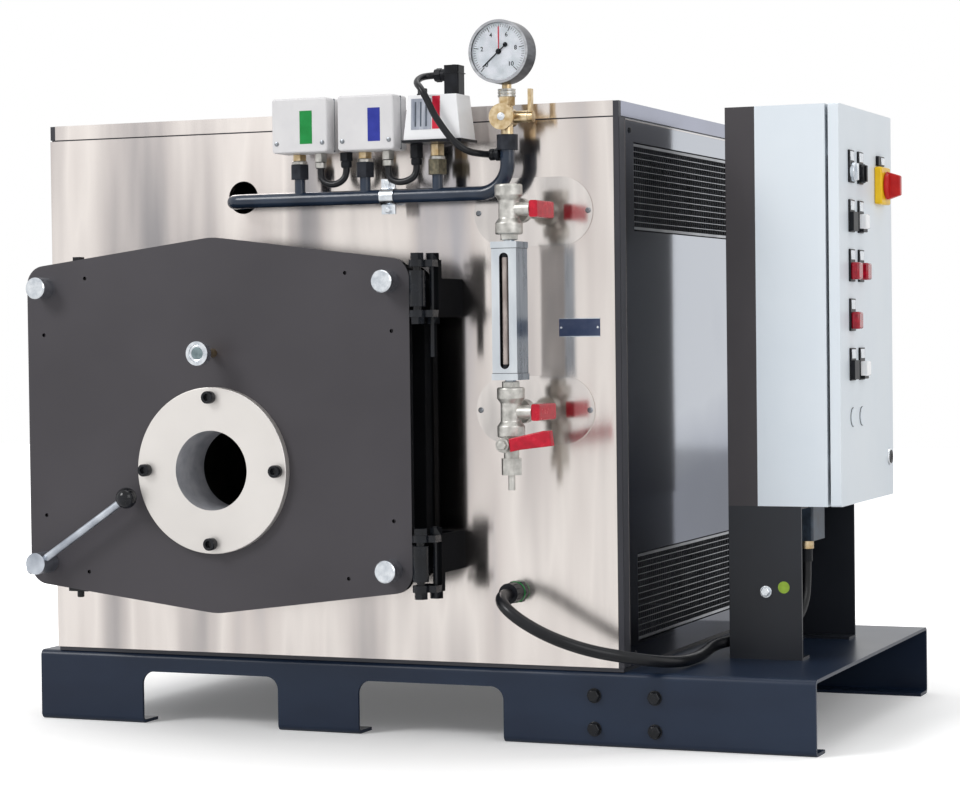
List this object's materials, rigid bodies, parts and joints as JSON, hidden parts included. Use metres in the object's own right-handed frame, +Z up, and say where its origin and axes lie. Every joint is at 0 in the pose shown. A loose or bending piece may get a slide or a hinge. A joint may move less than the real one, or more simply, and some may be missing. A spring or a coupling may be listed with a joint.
{
  "type": "industrial boiler",
  "caption": "Packaged steam boiler on a fork skid: steel casing, swinging burner door, level gauge, pressure instruments and a control cabinet on a side deck.",
  "frame": {"origin": "on the floor, at the middle of the boiler's footprint box", "axes": "+X to the right along the front, +Y from front to back, +Z up"},
  "size_m": [1.2992, 0.954, 1.058],
  "materials": {
    "skid_paint": "satin slate paint",
    "frame_paint": "satin black paint",
    "polished_steel": "brushed stainless",
    "grille_steel": "perforated stainless",
    "raw_steel": "raw boiler steel",
    "door_paint": "textured charcoal paint",
    "lining": "refractory lining",
    "machined_steel": "turned steel",
    "zinc": "bright zinc plate",
    "pipe_paint": "blue black paint",
    "grey_plastic": "light grey moulding",
    "black_plastic": "black moulding",
    "brass": "cast brass",
    "nickel": "nickel plated brass",
    "glass": "clear",
    "red_plastic": "red dipped plastic",
    "cabinet_paint": "light grey powder coat",
    "hose_rubber": "black sheath"
  },
  "bodies": {
    "boiler": {"skid_main": "skid_paint", "skid_deck": "skid_paint", "splice_plates": "skid_paint", "casing_frame": "frame_paint", "front_panel": "polished_steel", "left_panel": "polished_steel", "right_panel": "polished_steel", "rear_panel": "polished_steel", "roof_cap": "polished_steel", "side_grilles": "grille_steel", "vessel_shell": "raw_steel", "tube_plate": "raw_steel", "tube_nest": "raw_steel", "furnace_tube": "raw_steel", "vessel_saddles": "frame_paint", "flue_collar": "raw_steel", "door_frame": "door_paint", "hinge_brackets": "door_paint", "manifold_pipe": "pipe_paint", "pressure_switches": "grey_plastic", "pressure_limiter": "grey_plastic", "limiter_plug": "black_plastic", "gauge_cock": "brass", "pressure_gauge": "machined_steel", "pipe_clamp": "zinc", "cover_plates": "polished_steel", "gauge_cocks": "nickel", "glass_frame": "nickel", "gauge_glass": "glass", "drain_cock": "nickel", "cabinet_stand": "frame_paint", "cabinet_post": "frame_paint", "cabinet_body": "cabinet_paint", "mounting_plate": "zinc", "cabinet_connector": "grey_plastic", "cable_glands": "black_plastic", "front_hose": "hose_rubber", "switch_lead_left": "hose_rubber", "switch_lead_right": "hose_rubber", "limiter_lead": "hose_rubber"},
    "burner_door": {"door_plate": "door_paint", "door_lining": "lining", "burner_flange": "machined_steel", "sight_glass": "machined_steel", "closing_nuts": "zinc", "door_knuckles": "door_paint"},
    "clamp": {"clamp_lever": "zinc"},
    "gauge_cock_handle": {"cock_lever": "brass"},
    "upper_cock_handle": {"upper_cock_lever": "red_plastic"},
    "lower_cock_handle": {"lower_cock_lever": "red_plastic"},
    "drain_handle": {"drain_lever": "red_plastic"},
    "cabinet_leaf": {"cabinet_door": "cabinet_paint", "door_controls": "black_plastic"},
    "main_switch": {"main_switch_handle": "red_plastic"}
  },
  "joints": [
    {"name": "burner_door_swing", "type": "hinge", "parent": "boiler", "child": "burner_door", "pos_m": [0.06185, -0.431, 0.472], "axis": [0, 0, 1], "range_deg": [0, 100]},
    {"name": "clamp_turn", "type": "hinge", "parent": "burner_door", "child": "clamp", "pos_m": [-0.56765, -0.425, 0.261], "axis": [0, -1, 0], "range_deg": [-30, 180]},
    {"name": "gauge_cock_turn", "type": "hinge", "parent": "boiler", "child": "gauge_cock_handle", "pos_m": [0.17835, -0.364, 0.919], "axis": [1, 0, 0], "range_deg": [0, 90]},
    {"name": "upper_cock_turn", "type": "hinge", "parent": "boiler", "child": "upper_cock_handle", "pos_m": [0.20035, -0.417, 0.783], "axis": [1, 0, 0], "range_deg": [-90, 0]},
    {"name": "lower_cock_turn", "type": "hinge", "parent": "boiler", "child": "lower_cock_handle", "pos_m": [0.20035, -0.417, 0.492], "axis": [1, 0, 0], "range_deg": [0, 90]},
    {"name": "drain_turn", "type": "hinge", "parent": "boiler", "child": "drain_handle", "pos_m": [0.20035, -0.417, 0.446], "axis": [0, 1, 0], "range_deg": [0, 98]},
    {"name": "cabinet_door_swing", "type": "hinge", "parent": "boiler", "child": "cabinet_leaf", "pos_m": [0.59635, -0.105, 0.341], "axis": [0, 0, -1], "range_deg": [0, 110]},
    {"name": "main_switch_turn", "type": "hinge", "parent": "cabinet_leaf", "child": "main_switch", "pos_m": [0.60535, 0.136, 0.829], "axis": [1, 0, 0], "range_deg": [-90, 0]}
  ]
}
